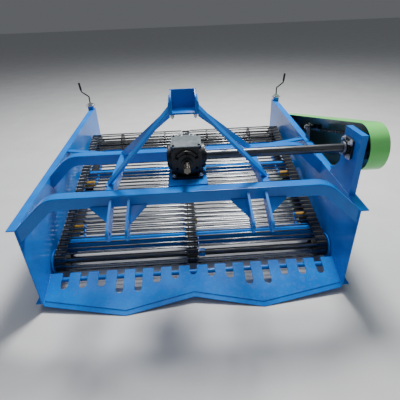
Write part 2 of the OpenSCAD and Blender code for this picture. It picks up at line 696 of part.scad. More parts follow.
// Nylon rollers under the top strand, on arms from the cross tubes.
roller_r = 25;
roller_w = 90;
roller_x = 790;
roller_places = [-roller_x, 0, roller_x];
module at_top_strand(run) along_web()
    translate([0, run, (idler_r + (drive_r - idler_r) * run / web_centres) / cos(web_lean)]) children();
roller_pin_r = 8;
roller_runs = [260, 730];
module support_rollers() color(yellow) machine() for (run = roller_runs) at_top_strand(run)
    for (x = roller_places) difference() {
        cross_rod(0, -roller_r - 0.3, roller_r, x - roller_w / 2, x + roller_w / 2);
        cross_rod(0, -roller_r - 0.3, roller_pin_r + 0.1, x - roller_w, x + roller_w);
    }
// Where a support roller's pin is, seen from the side.
function pin_up(run) = (idler_r + (drive_r - idler_r) * run / web_centres) / cos(web_lean) - roller_r - 0.3;
function pin_y(run) = idler_y + run * cos(web_rise) - pin_up(run) * sin(web_rise);
function pin_z(run) = idler_z + run * sin(web_rise) + pin_up(run) * cos(web_rise);
arm_t = 8;
module roller_arms() color(blue) machine() for (side = [-1, 0, 1]) {
    end = side == 0 ? -roller_w / 2 : side * (roller_x - roller_w / 2);
    plate_x = side < 0 ? end + 1 : end - arm_t - 1;
    for (run = roller_runs) cross_rod(pin_y(run), pin_z(run), roller_pin_r,
        side < 0 ? end - roller_w + 2 : end - 2, side < 0 ? end + 2 : end + roller_w - 2);
    side_profile(plate_x, arm_t) {
        arm_outline(pin_y(roller_runs[0]), pin_z(roller_runs[0]), main_tube_y + main_tube_size,
            main_tube_z + 20, 50);
        arm_outline(pin_y(roller_runs[1]), pin_z(roller_runs[1]), rear_tube_y, rear_tube_z, 40);
    }
}
// A plate from a roller's pin to the face of a tube, seen from the side.
module arm_outline(y, z, tube_y, tube_z, height) {
    translate([y, z]) circle(18);
    polygon([[tube_y, tube_z], [tube_y, tube_z + height], [y, z + 18], [y, z - 18]]);
}

// Plate from the main cross tube forward to the middle of the idler shaft.
module centre_arm() color(blue) machine() side_profile(41, arm_t) difference() {
    union() {
        translate([idler_y, idler_z]) circle(28);
        polygon([[idler_y, idler_z - 28], [main_tube_y, main_tube_z + 4],
            [main_tube_y, main_tube_z + main_tube_size - 8], [idler_y, idler_z + 28]]);
    }
    translate([idler_y, idler_z]) circle(bore_r);
}

// Sleeves outside the rear corners, the legs that slide in them and their cranks.
sleeve_x = half + sleeve_size / 2;
sleeve_bottom = 400;
sleeve_top = side_rear_top + 30;
leg_gap = 0.5;
module leg_sleeve() difference() {
    translate([half, leg_y - sleeve_size / 2, sleeve_bottom])
        cube([sleeve_size, sleeve_size, sleeve_top - sleeve_bottom]);
    translate([sleeve_x - leg_size / 2 - leg_gap, leg_y - leg_size / 2 - leg_gap, sleeve_bottom - 1])
        cube([leg_size + 2 * leg_gap, leg_size + 2 * leg_gap, sleeve_top - sleeve_bottom - 4]);
}
module leg_sleeves() color(blue) machine() both_sides() leg_sleeve();
// A collar and nut on each sleeve, and above them a bent rod with a thicker grip.
crank_d = 12;
crank_stem = 88;
crank_arm = [62, 48];
crank_grip = [8, 82];
module crank_rod(from, run, d) translate([from.x, 0, from.y]) {
    rotate([0, atan2(run.x, run.y), 0]) cylinder(d = d, h = norm(run));
    sphere(d = d);
}
module depth_cranks() color(zinc) machine() both_sides() translate([sleeve_x, leg_y, sleeve_top]) {
    cylinder(d = 84, h = 9);
    cylinder(d = 46, h = 24, $fn = 6);
    crank_rod([0, 20], [0, crank_stem - 20], crank_d);
    crank_rod([0, crank_stem], crank_arm, crank_d);
    elbow = [crank_arm.x, crank_stem + crank_arm.y];
    crank_rod(elbow, crank_grip, crank_d);
    crank_rod([elbow.x + 0.2 * crank_grip.x, elbow.y + 0.2 * crank_grip.y],
        [0.8 * crank_grip.x, 0.8 * crank_grip.y], crank_d + 7);
}

axle_z = wheel_d / 2;
wheel_x = sleeve_x + sleeve_size / 2 + 20;
leg_top = 600;
leg_foot_t = 12;
module leg() {
    leg_bottom = axle_z - leg_size / 2;
    leg_outer = sleeve_x + leg_size / 2;
    translate([sleeve_x - leg_size / 2, leg_y - leg_size / 2, leg_bottom])
        cube([leg_size, leg_size, leg_top - leg_bottom]);
    side_profile(leg_outer - leg_foot_t, leg_foot_t) {
        translate([leg_y, leg_bottom]) square([wheel_trail, leg_size]);
        translate([wheel_y, axle_z]) circle(leg_size / 2);
    }
    cross_rod(wheel_y, axle_z, axle_d / 2 + 8, leg_outer - 1, wheel_x - 3);
    cross_rod(wheel_y, axle_z, axle_d / 2, leg_outer - 1, wheel_x + wheel_w + 2);
    cross_rod(wheel_y, axle_z, axle_d / 2 + 8, wheel_x + wheel_w + 2, wheel_x + wheel_w + 10);
}
module leg_left() color(blue) machine() mirror([1, 0, 0]) leg();
module leg_right() color(blue) machine() leg();

// A steel rim with lips, a disc with round holes and a hub tube.
running = 0.05;
rim_t = 8;
rim_lip = 7;
disc_t = 8;
disc_hole_r = 26;
module wheel() difference() {
    union() {
        difference() {
            cross_rod(wheel_y, axle_z, wheel_d / 2, wheel_x, wheel_x + wheel_w);
            cross_rod(wheel_y, axle_z, wheel_d / 2 - rim_t - rim_lip, wheel_x - 1, wheel_x + wheel_w + 1);
            cross_rod(wheel_y, axle_z, wheel_d / 2 - rim_t, wheel_x + rim_t, wheel_x + wheel_w - rim_t);
        }
        difference() {
            cross_rod(wheel_y, axle_z, wheel_d / 2 - 4, wheel_x + (wheel_w - disc_t) / 2,
                wheel_x + (wheel_w + disc_t) / 2);
            for (i = [0 : 4]) translate([wheel_x, wheel_y, axle_z]) rotate([i * 72, 0, 0])
                cross_rod(0, wheel_d * 0.29, disc_hole_r, 0, wheel_w);
        }
        cross_rod(wheel_y, axle_z, axle_d / 2 + 14, wheel_x + 2, wheel_x + wheel_w - 2);
    }
    cross_rod(wheel_y, axle_z, axle_d / 2 + running, wheel_x - 50, wheel_x + wheel_w + 50);
}
module wheel_left() color(blue) machine() mirror([1, 0, 0]) wheel();
module wheel_right() color(blue) machine() wheel();

side_left();
side_right();
front_beam();
rear_beam();
beam_braces();
rails();
share();
share_bar();
main_cross_tube();
rear_cross_tube();
tail_tube();
top_link_bracket();
mast_legs();
mast_stays();
hitch_plates_left();
hitch_plates_right();
gearbox_cradle();
gearbox();
gearbox_cover();
input_shaft();
cross_shaft();
bearing_stand();
stand_bearing();
upper_sprocket();
lower_sprocket();
drive_chain();
chain_tensioner();
chain_guard();
guard_brackets();
idler_roller();
idler_discs();
drive_roller();
roller_bearings();
web_belts();
web_rods();
support_rollers();
roller_arms();
centre_arm();
leg_sleeves();
depth_cranks();
leg_left();
leg_right();
wheel_left();
wheel_right();
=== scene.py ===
import json
import math

import bmesh
import bpy
from mathutils import Euler, Matrix, Vector


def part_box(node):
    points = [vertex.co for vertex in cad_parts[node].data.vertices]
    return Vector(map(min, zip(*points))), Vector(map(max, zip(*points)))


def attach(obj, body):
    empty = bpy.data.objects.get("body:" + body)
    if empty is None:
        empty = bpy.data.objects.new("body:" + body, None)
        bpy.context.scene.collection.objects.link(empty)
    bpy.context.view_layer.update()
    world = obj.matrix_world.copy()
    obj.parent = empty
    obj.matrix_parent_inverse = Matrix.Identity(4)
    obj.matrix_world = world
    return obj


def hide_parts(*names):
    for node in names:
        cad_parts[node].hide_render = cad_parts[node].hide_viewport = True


# A tractor-mounted root crop harvester. Places are in the frame's axes, X to the right seen
# from the tractor, Y to the rear and Z up; lengths in millimetres go through MM or at().
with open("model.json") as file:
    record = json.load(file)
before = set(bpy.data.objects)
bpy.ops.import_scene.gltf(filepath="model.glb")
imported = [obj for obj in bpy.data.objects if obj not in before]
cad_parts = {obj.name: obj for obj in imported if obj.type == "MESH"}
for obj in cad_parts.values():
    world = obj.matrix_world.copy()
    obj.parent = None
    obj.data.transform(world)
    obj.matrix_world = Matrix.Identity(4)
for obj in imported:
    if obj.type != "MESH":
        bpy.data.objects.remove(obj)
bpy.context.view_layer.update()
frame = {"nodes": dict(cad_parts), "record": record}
nodes = frame["nodes"]
record = frame["record"]
body_of = {node: body for body, members in record["behaviour"]["bodies"].items()
           for node in members}
slot_of = {part["node"]: part["material_slot"] for part in record["subparts"]}
MM = 0.001
PLATE_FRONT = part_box("side_left")[0].y


def at(x, y, z):
    """A place given in millimetres, with y measured back from the side plates' front edge."""
    return Vector((x * MM, PLATE_FRONT + y * MM, z * MM))


def middle(node):
    """The middle of a node's box."""
    low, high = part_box(node)
    return (low + high) / 2


def centre_line(node):
    """The place on the machine's centre line that a node turns about."""
    return Vector((0, middle(node).y, middle(node).z))


# ---------------------------------------------------------------- sizes
# Side plates, and the shafts between them.
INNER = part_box("front_beam")[1].x
OUTER = INNER + 6 * MM
IDLER = centre_line("idler_discs")
DRIVEN = centre_line("lower_sprocket")
CROSS_SHAFT = centre_line("cross_shaft")
AXLE = centre_line("wheel_right")
# The rod web, on an idler and on a drive roller with 15 teeth that fit the rods. Both radii
# are those of the rods' middles.
WEB_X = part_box("web_rods")[1].x
BELT_W = 65 * MM
BELT_X = (-WEB_X + BELT_W / 2, 0.0, WEB_X - BELT_W / 2)
ROD_PITCH = 42.3 * MM
ROD_R = 5.5 * MM
IDLER_RUN_R = 69.5 * MM
DRIVEN_RUN_R = 15 * ROD_PITCH / (2 * math.pi)
# The chain drive and its guard.
CHAIN_PITCH = 25.4 * MM
CHAIN_X = 990 * MM
UPPER_TEETH = 15
LOWER_TEETH = 23
GUARD_SHEET = 3 * MM
# Half the side of the square that the bolts of a bearing's flange stand on.
FLANGE_BOLT = 39 * MM
# Edges that turn by more than this stay sharp, in radians: of cut and cast parts, and of
# turned and repeated ones.
SHARP_CUT = 0.5
SHARP_TURNED = 0.6


# ---------------------------------------------------------------- nodes of materials and trees
# Inputs that share a name go by number: 1 to 4 of a Map Range are the ends of the range it reads
# and of the range it gives, and 0, 6 and 7 of a Mix are its share and its two colours.
def linear(hex_colour):
    """A linear RGBA colour from an sRGB hex value."""
    parts = [int(hex_colour[i:i + 2], 16) / 255 for i in (1, 3, 5)]
    return [c / 12.92 if c <= 0.04045 else ((c + 0.055) / 1.055) ** 2.4 for c in parts] + [1.0]


def connect(tree, node, inputs):
    """Sets a node's inputs, each to a value, a socket's link, or a node's first output."""
    for name, value in inputs.items():
        if isinstance(value, bpy.types.Node):
            value = value.outputs[0]
        if isinstance(value, bpy.types.NodeSocket):
            tree.links.new(node.inputs[name], value)
        else:
            node.inputs[name].default_value = value


def add(tree, kind, inputs=None, stops=(), **settings):
    """Adds a node with its settings and its inputs. Stops are those of a colour ramp, each a
    position and a hex colour."""
    node = tree.nodes.new(kind)
    for name, value in settings.items():
        setattr(node, name, value)
    connect(tree, node, inputs or {})
    if stops:
        elements = node.color_ramp.elements
        while len(elements) < len(stops):
            elements.new(0.5)
        for element, (position, colour) in zip(elements, stops):
            element.position = position
            element.color = linear(colour)
    return node


def started(name, sockets):
    """A new material with its tree, its shader and the Object coordinates of the piece."""
    material = bpy.data.materials.new(name)
    material.use_nodes = True
    tree = material.node_tree
    tree.nodes.clear()
    shader = add(tree, "ShaderNodeBsdfPrincipled", sockets)
    add(tree, "ShaderNodeOutputMaterial", {"Surface": shader})
    return material, tree, shader, add(tree, "ShaderNodeTexCoord").outputs["Object"]


# ---------------------------------------------------------------- second colours
# Each takes a tree, the Object coordinates and a finish's colour so far, and gives the colour
# with a second one laid on a part of the piece.
def painted_shade_inside(tree, place, unshaded):
    """The guard's faces that look in at the chain, darkened with painted shade, since the sheet
    keeps light off them. A face is inside when its place is more than half the sheet within the
    guard's outline."""
    low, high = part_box("chain_guard")
    front_r, rear_r = CROSS_SHAFT.y - low.y, high.y - DRIVEN.y
    run = DRIVEN - CROSS_SHAFT
    lean = math.asin((front_r - rear_r) / run.length)
    from_shaft = add(tree, "ShaderNodeVectorMath", {0: place, 1: CROSS_SHAFT},
                     operation="SUBTRACT")
    along, aside = [add(tree, "ShaderNodeVectorMath", {0: from_shaft, 1: direction},
                        operation="DOT_PRODUCT").outputs["Value"]
                    for direction in (run.normalized(), run.normalized().cross((1, 0, 0)))]
    aside = add(tree, "ShaderNodeMath", {0: aside}, operation="ABSOLUTE")
    # The nearest point between the shafts, and the outline's radius there.
    foot = add(tree, "ShaderNodeMath", {0: aside, 1: -math.tan(lean), 2: along},
               operation="MULTIPLY_ADD")
    foot = add(tree, "ShaderNodeClamp", {"Value": foot, "Max": run.length})
    radius = add(tree, "ShaderNodeMath",
                 {0: foot, 1: -math.sin(lean), 2: front_r - GUARD_SHEET / 2},
                 operation="MULTIPLY_ADD")
    past_foot = add(tree, "ShaderNodeMath", {0: along, 1: foot}, operation="SUBTRACT")
    from_foot = add(tree, "ShaderNodeCombineXYZ", {0: past_foot, 1: aside})
    away = add(tree, "ShaderNodeVectorMath", {0: from_foot}, operation="LENGTH")
    within = add(tree, "ShaderNodeMath", {0: away.outputs["Value"], 1: radius},
                 operation="LESS_THAN")
    # The open edge and the flat wall's outer face stay bright.
    across = add(tree, "ShaderNodeSeparateXYZ", {0: place}).outputs["X"]
    between = add(tree, "ShaderNodeMath",
                  {0: across, 1: (low.x + high.x) / 2, 2: (high.x - low.x - GUARD_SHEET) / 2},
                  operation="COMPARE")
    # Painted shade: faces inside the outline and off the outer wall take a dark grey-green.
    shaded = add(tree, "ShaderNodeMath", {0: within, 1: between}, operation="MULTIPLY")
    return add(tree, "ShaderNodeMix", {0: shaded, 6: unshaded, 7: linear("#688270")},
               data_type="RGBA").outputs[2]


def dull_at_belts(tree, place, bright):
    """The web's rods, dull and dark where they lie on the belts, and for 50 mm beside the outer
    belts and 30 mm beside the middle one. Soil keeps them bright elsewhere."""
    across = add(tree, "ShaderNodeSeparateXYZ", {0: place}).outputs["X"]
    across = add(tree, "ShaderNodeMath", {0: across}, operation="ABSOLUTE")
    outer = add(tree, "ShaderNodeMapRange",
                {"Value": across, 1: WEB_X - BELT_W - 50 * MM, 2: WEB_X - BELT_W})
    inner = add(tree, "ShaderNodeMapRange",
                {"Value": across, 1: BELT_W / 2, 2: BELT_W / 2 + 30 * MM, 3: 1.0, 4: 0.0})
    dull = add(tree, "ShaderNodeMath", {0: outer, 1: inner}, operation="MAXIMUM")
    return add(tree, "ShaderNodeMix", {0: dull, 6: bright, 7: linear("#4C4F54")},
               data_type="RGBA").outputs[2]


def dull_above_nut(tree, place, bright):
    """The cranks' rods, dulled to dark grey above the plated collar and nut, which end 24 mm
    above the sleeve."""
    height = add(tree, "ShaderNodeSeparateXYZ", {0: place}).outputs["Z"]
    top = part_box("leg_sleeves")[1].z + 24 * MM
    rod = add(tree, "ShaderNodeMapRange", {"Value": height, 1: top, 2: top + 4 * MM})
    return add(tree, "ShaderNodeMix", {0: rod, 6: bright, 7: linear("#3E4247")},
               data_type="RGBA").outputs[2]


# ---------------------------------------------------------------- materials
# A noise's Scale is its number of cells in a metre, so 40 gives cells of 25 mm.
def enamel(name, dark, main, light, dust, second=None):
    """Sprayed gloss enamel on steel: a fine orange peel under a hard gloss, a slight unevenness
    of the coat, and a thin film of soil dust that gathers near the ground."""
    material, tree, shader, place = started(
        name, {"Roughness": 0.28, "Coat Weight": 0.04, "Specular IOR Level": 0.34})
    # Unevenness of the coat, in clouds of about 150 mm.
    coat = add(tree, "ShaderNodeTexNoise", {"Vector": place, "Scale": 7.0, "Detail": 2.0})
    paint = add(tree, "ShaderNodeValToRGB", {"Fac": coat},
                [(0.3, dark), (0.5, main), (0.72, light)])
    # Dust in blotches of about 25 mm, thick only in the lowest 200 mm.
    height = add(tree, "ShaderNodeSeparateXYZ", {0: place}).outputs["Z"]
    low = add(tree, "ShaderNodeMapRange",
              {"Value": height, 1: 30 * MM, 2: 220 * MM, 3: 1.0, 4: 0.15})
    blotch = add(tree, "ShaderNodeTexNoise",
                 {"Vector": place, "Scale": 38.0, "Detail": 5.0, "Roughness": 0.62})
    settled = add(tree, "ShaderNodeMapRange", {"Value": blotch, 1: 0.5, 2: 0.8, 3: 0.0, 4: dust})
    share = add(tree, "ShaderNodeMath", {0: low, 1: settled}, operation="MULTIPLY")
    colour = add(tree, "ShaderNodeMix", {0: share, 6: paint, 7: linear("#6E675C")},
                 data_type="RGBA").outputs[2]
    if second:
        colour = second(tree, place, colour)
    gloss = add(tree, "ShaderNodeMapRange", {"Value": share, 1: 0.0, 2: 0.2, 3: 0.24, 4: 0.6})
    # The peel is 1 to 2 mm on the real coat, drawn 6 mm wide so that it shows.
    peel = add(tree, "ShaderNodeTexNoise", {"Vector": place, "Scale": 160.0, "Detail": 1.0})
    relief = add(tree, "ShaderNodeBump", {"Height": peel, "Distance": 0.3 * MM, "Strength": 0.12})
    connect(tree, shader, {"Base Color": colour, "Roughness": gloss, "Normal": relief})
    return material


def cast_iron(name, dark, light):
    """Sand-cast iron under black paint: half gloss, with clouds of 33 mm and the grain of the
    mould in pits of 2 to 3 mm."""
    material, tree, shader, place = started(name, {"Roughness": 0.42, "Coat Weight": 0.12})
    cloud = add(tree, "ShaderNodeTexNoise", {"Vector": place, "Scale": 30.0, "Detail": 4.0})
    colour = add(tree, "ShaderNodeValToRGB", {"Fac": cloud}, [(0.35, dark), (0.75, light)])
    grain = add(tree, "ShaderNodeTexNoise", {"Vector": place, "Scale": 420.0, "Detail": 3.0})
    gloss = add(tree, "ShaderNodeMapRange", {"Value": grain, 3: 0.3, 4: 0.6})
    relief = add(tree, "ShaderNodeBump", {"Height": grain, "Distance": 0.6 * MM, "Strength": 0.4})
    connect(tree, shader, {"Base Color": colour, "Roughness": gloss, "Normal": relief})
    return material


def bare_steel(name, dark, light, roughness, along, stain=None, second=None):
    """Steel without paint: fine lines along the way it was drawn, turned or rubbed. Stain is a
    colour that lies on it in spots of 18 mm, such as rust or oil."""
    material, tree, shader, place = started(name, {"Roughness": roughness, "Metallic": 0.95})
    # Lines 3 mm wide; `along` squeezes the pattern, so that 0.05 makes them 60 mm long.
    lines = add(tree, "ShaderNodeMapping", {"Vector": place, "Scale": along})
    grain = add(tree, "ShaderNodeTexNoise", {"Vector": lines, "Scale": 330.0, "Detail": 2.0})
    colour = add(tree, "ShaderNodeValToRGB", {"Fac": grain}, [(0.3, dark), (0.7, light)])
    if stain:
        spot = add(tree, "ShaderNodeTexNoise",
                   {"Vector": place, "Scale": 55.0, "Detail": 5.0, "Roughness": 0.7})
        mask = add(tree, "ShaderNodeMapRange", {"Value": spot, 1: 0.53, 2: 0.72, 3: 0.0, 4: 0.75})
        colour = add(tree, "ShaderNodeMix", {0: mask, 6: colour, 7: linear(stain)},
                     data_type="RGBA").outputs[2]
    if second:
        colour = second(tree, place, colour)
    gloss = add(tree, "ShaderNodeMapRange",
                {"Value": grain, 3: roughness - 0.08, 4: roughness + 0.12})
    relief = add(tree, "ShaderNodeBump", {"Height": grain, "Distance": 0.2 * MM, "Strength": 0.2})
    connect(tree, shader, {"Base Color": colour, "Roughness": gloss, "Normal": relief})
    return material


def zinc(name, dark, light, roughness, second=None):
    """Bright zinc plate: cloudy spangle of about 8 mm over smooth steel."""
    material, tree, shader, place = started(name, {"Roughness": roughness, "Metallic": 1.0})
    spangle = add(tree, "ShaderNodeTexVoronoi", {"Vector": place, "Scale": 120.0})
    tone = add(tree, "ShaderNodeSeparateColor", {0: spangle.outputs["Color"]})
    colour = add(tree, "ShaderNodeValToRGB", {"Fac": tone}, [(0.0, dark), (1.0, light)])
    if second:
        colour = second(tree, place, colour)
    film = add(tree, "ShaderNodeTexNoise", {"Vector": place, "Scale": 160.0, "Detail": 3.0})
    gloss = add(tree, "ShaderNodeMapRange",
                {"Value": film, 3: roughness - 0.08, 4: roughness + 0.14})
    relief = add(tree, "ShaderNodeBump", {"Height": film, "Distance": 0.2 * MM, "Strength": 0.12})
    connect(tree, shader, {"Base Color": colour, "Roughness": gloss, "Normal": relief})
    return material


def cover_paint():
    """Grey primer on the gearbox's cover: flat paint with rubbed, darker patches of 40 mm."""
    material, tree, shader, place = started("grey_primer_on_cover",
                                            {"Roughness": 0.45, "Coat Weight": 0.1})
    rub = add(tree, "ShaderNodeTexNoise",
              {"Vector": place, "Scale": 26.0, "Detail": 5.0, "Roughness": 0.6})
    colour = add(tree, "ShaderNodeValToRGB", {"Fac": rub},
                 [(0.3, "#4A555C"), (0.6, "#5E6B73"), (0.8, "#74818A")])
    gloss = add(tree, "ShaderNodeMapRange", {"Value": rub, 3: 0.35, 4: 0.6})
    grain = add(tree, "ShaderNodeTexNoise", {"Vector": place, "Scale": 380.0, "Detail": 2.0})
    relief = add(tree, "ShaderNodeBump", {"Height": grain, "Distance": 0.3 * MM, "Strength": 0.2})
    connect(tree, shader, {"Base Color": colour, "Roughness": gloss, "Normal": relief})
    return material


def rubber():
    """Reinforced belt rubber: black and matt, with the print of its woven core in threads 4 mm
    wide, and pale soil in blotches of 30 mm."""
    material, tree, shader, place = started("belt_rubber", {"Roughness": 0.72})
    warp, weft = [add(tree, "ShaderNodeTexWave",
                      {"Vector": place, "Scale": 40.0, "Distortion": 0.4},
                      bands_direction=direction).outputs["Fac"] for direction in ("X", "Y")]
    cloth = add(tree, "ShaderNodeMath", {0: warp, 1: weft}, operation="MULTIPLY")
    soil = add(tree, "ShaderNodeTexNoise",
               {"Vector": place, "Scale": 34.0, "Detail": 5.0, "Roughness": 0.65})
    colour = add(tree, "ShaderNodeValToRGB", {"Fac": soil},
                 [(0.42, "#1F2123"), (0.6, "#2D2E2E"), (0.8, "#4C4843")])
    gloss = add(tree, "ShaderNodeMapRange", {"Value": soil, 3: 0.55, 4: 0.9})
    relief = add(tree, "ShaderNodeBump", {"Height": cloth, "Distance": 0.6 * MM, "Strength": 0.35})
    connect(tree, shader, {"Base Color": colour, "Roughness": gloss, "Normal": relief})
    return material


def nylon():
    """Cast nylon: waxy yellow with turning lines 4 mm apart round the roller, and soil rubbed in
    in spots of 17 mm."""
    material, tree, shader, place = started(
        "cast_nylon", {"Roughness": 0.42, "Coat Weight": 0.05,
                       "Subsurface Weight": 0.08, "Subsurface Scale": 4 * MM})
    soil = add(tree, "ShaderNodeTexNoise", {"Vector": place, "Scale": 60.0, "Detail": 5.0})
    colour = add(tree, "ShaderNodeValToRGB", {"Fac": soil},
                 [(0.35, "#D9A62C"), (0.55, "#B98A28"), (0.75, "#70562C")])
    gloss = add(tree, "ShaderNodeMapRange", {"Value": soil, 3: 0.32, 4: 0.6})
    lines = add(tree, "ShaderNodeTexWave", {"Vector": place, "Scale": 75.0},
                bands_direction="X").outputs["Fac"]
    relief = add(tree, "ShaderNodeBump", {"Height": lines, "Distance": 0.3 * MM, "Strength": 0.2})
    connect(tree, shader, {"Base Color": colour, "Roughness": gloss, "Normal": relief})
    return material


def floor_paint():
    """A pale, matt studio floor with a faint unevenness in patches of 300 mm."""
    material, tree, shader, place = started("pale_floor", {"Roughness": 0.75})
    patch = add(tree, "ShaderNodeTexNoise", {"Vector": place, "Scale": 3.0, "Detail": 2.0})
    colour = add(tree, "ShaderNodeValToRGB", {"Fac": patch}, [(0.3, "#D6D7D8"), (0.7, "#DEDFE0")])
    connect(tree, shader, {"Base Color": colour})
    return material


blue_enamel = enamel("blue_enamel", "#0070D2", "#0078DC", "#0082E6", 0.16)
green_enamel = enamel("green_enamel", "#7AE478", "#80E87E", "#86EC84", 0.15, painted_shade_inside)
black_casting = cast_iron("black_cast_iron", "#0B0D10", "#1D2126")
cover_grey = cover_paint()
chain_steel = bare_steel("oiled_chain_steel", "#2B2926", "#57534C", 0.36, (1, 1, 1), "#15120E")
collar_steel = bare_steel("turned_collar_steel", "#7C8085", "#A4A8AC", 0.34, (1, 1, 1))
shaft_steel = bare_steel("turned_shaft_steel", "#4A4E53", "#686C71", 0.32, (0.05, 1, 1), "#3A3734")
spline_steel = bare_steel("ground_spline_steel", "#5C5751", "#928D86", 0.3, (1, 0.1, 1), "#3A322B")
rod_steel = bare_steel("rod_steel_polished_by_soil", "#3A3C40", "#8A8D92", 0.2, (0.025, 1, 1),
                       "#241D18", dull_at_belts)
zinc_plate = zinc("bright_zinc_plate", "#B4B8BC", "#E2E4E6", 0.28)
clean_zinc = zinc("clean_zinc_bolts", "#D6D8DA", "#F2F3F4", 0.36)
crank_zinc = zinc("zinc_collar_and_dull_rod", "#B4B8BC", "#E2E4E6", 0.28, dull_above_nut)
black_oxide = zinc("black_oxide_bolts", "#0E0F11", "#24272A", 0.4)
belt_rubber = rubber()
yellow_nylon = nylon()
MATERIAL_OF_SLOT = {
    "blue_paint": blue_enamel, "green_paint": green_enamel, "black_iron": black_casting,
    "chain_steel": chain_steel, "bright_steel": rod_steel, "zinc_plate": zinc_plate,
    "belt_rubber": belt_rubber, "yellow_nylon": yellow_nylon,
}
MATERIAL_OF_NODE = {"gearbox_cover": cover_grey, "cross_shaft": shaft_steel,
                    "input_shaft": spline_steel, "depth_cranks": crank_zinc}


# ---------------------------------------------------------------- pieces
def placed(name, data):
    """A new object in the scene, at the origin."""
    item = bpy.data.objects.new(name, data)
    bpy.context.scene.collection.objects.link(item)
    return item


def piece(name, mesh, material, body="frame", stands_for=()):
    """Puts a finished mesh into the scene on the body it rides on, and hides the nodes it stands
    for.
    """
    mesh.name = name
    mesh.materials.clear()
    mesh.materials.append(material)
    item = placed(name, mesh)
    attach(item, body)
    for node in stands_for:
        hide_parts(node)


def meshed(work, name):
    """The mesh of a bmesh that is finished, which is freed."""
    mesh = bpy.data.meshes.new(name)
    work.to_mesh(mesh)
    work.free()
    return mesh


def smooth(mesh, sharp=None):
    """Shades a mesh smooth, apart from edges that turn by more than `sharp`."""
    for face in mesh.polygons:
        face.use_smooth = True
    if sharp:
        mesh.set_sharp_from_angle(angle=sharp)
    return mesh


def evaluated(item):
    """The mesh that an object's modifiers give; the object itself is taken away."""
    bpy.context.view_layer.update()
    shape = item.evaluated_get(bpy.context.evaluated_depsgraph_get())
    mesh = bpy.data.meshes.new_from_object(shape)
    bpy.data.objects.remove(item)
    return mesh


def rounded(mesh, width):
    """Rounds the sharp edges of a closed mesh; flat faces keep their own normals."""
    item = placed("rounding", mesh)
    edge = item.modifiers.new("edge", "BEVEL")
    edge.width = width
    edge.segments = 2
    edge.limit_method = "ANGLE"
    edge.angle_limit = SHARP_CUT
    edge.harden_normals = True
    edge.miter_outer = "MITER_ARC"
    return evaluated(item)


def dressed(node, width):
    """A node's own shape with its edges rounded, as cut, cast or bent steel has them."""
    work = bmesh.new()
    work.from_mesh(nodes[node].data)
    bmesh.ops.remove_doubles(work, verts=work.verts, dist=0.01 * MM)
    # Faces that lie within half a degree of one plane become one face.
    bmesh.ops.dissolve_limit(work, angle_limit=0.008, verts=work.verts, edges=work.edges)
    mesh = smooth(meshed(work, node), SHARP_CUT)
    if width:
        mesh = rounded(mesh, width)
    material = MATERIAL_OF_NODE.get(node, MATERIAL_OF_SLOT[slot_of[node]])
    piece(node + "_finished", mesh, material, body_of[node], [node])


# ---------------------------------------------------------------- small shapes
def lathe(profile, sides, axis="Z", unit=1.0):
    """A closed turned shape from (radius, height) pairs in a unit given in metres. The first and
    last pairs lie on the axis."""
    work = bmesh.new()
    rings = []
    for radius, height in profile:
        if radius == 0:
            rings.append([work.verts.new((0, 0, height * unit))])
            continue
        rings.append([work.verts.new((radius * unit * math.cos(2 * math.pi * i / sides),
                                      radius * unit * math.sin(2 * math.pi * i / sides),
                                      height * unit)) for i in range(sides)])
    for low, high in zip(rings, rings[1:]):
        for i in range(sides):
            j = i + 1
            corners = dict.fromkeys([low[i % len(low)], low[j % len(low)],
                                     high[j % len(high)], high[i % len(high)]])
            if len(corners) > 2:
                work.faces.new(list(corners))
    bmesh.ops.recalc_face_normals(work, faces=work.faces)
    if axis == "X":
        bmesh.ops.rotate(work, verts=work.verts, matrix=Matrix.Rotation(math.pi / 2, 3, "Y"))
    return smooth(meshed(work, "turned"), SHARP_TURNED)


def joined(meshes, name):
    """One mesh from several."""
    work = bmesh.new()
    for mesh in meshes:
        work.from_mesh(mesh)
    return meshed(work, name)


def plate(outline, thickness):
    """A flat plate across X from the (y, z) points of its outline, half to each side."""
    work = bmesh.new()
    face = work.faces.new([work.verts.new((-thickness / 2, y, z)) for y, z in outline])
    made = bmesh.ops.extrude_face_region(work, geom=[face])["geom"]
    bmesh.ops.translate(work, verts=[v for v in made if isinstance(v, bmesh.types.BMVert)],
                        vec=(thickness, 0, 0))
    bmesh.ops.recalc_face_normals(work, faces=work.faces)
    return meshed(work, "plate")


def bolt_shape():
    """A hexagon head on a washer, 1 metre across its flats; scaled where it is put."""
    head = lathe([(0, 0.14), (0.52, 0.14), (0.577, 0.2), (0.577, 0.72), (0.47, 0.8), (0, 0.8)], 6)
    washer = lathe([(0, 0), (0.92, 0), (0.95, 0.04), (0.95, 0.12), (0.9, 0.16), (0, 0.16)], 16)
    return joined([head, washer], "bolt")


def nut_shape():
    """A bolt's end, 1 metre across its flats: washer, nut and the thread standing out."""
    nut = lathe([(0, 0.12), (0.5, 0.12), (0.577, 0.2), (0.577, 0.86), (0.5, 0.94), (0, 0.94)], 6)
    thread = lathe([(0, 0.9), (0.3, 0.9), (0.3, 1.25), (0.24, 1.32), (0, 1.32)], 12)
    washer = lathe([(0, 0), (0.92, 0), (0.95, 0.04), (0.95, 0.1), (0.9, 0.14), (0, 0.14)], 16)
    return joined([nut, thread, washer], "nut")


def rivet_shape():
    """A domed rivet head, 1 metre across."""
    return lathe([(0, 0), (0.5, 0), (0.48, 0.14), (0.34, 0.3), (0, 0.38)], 8)


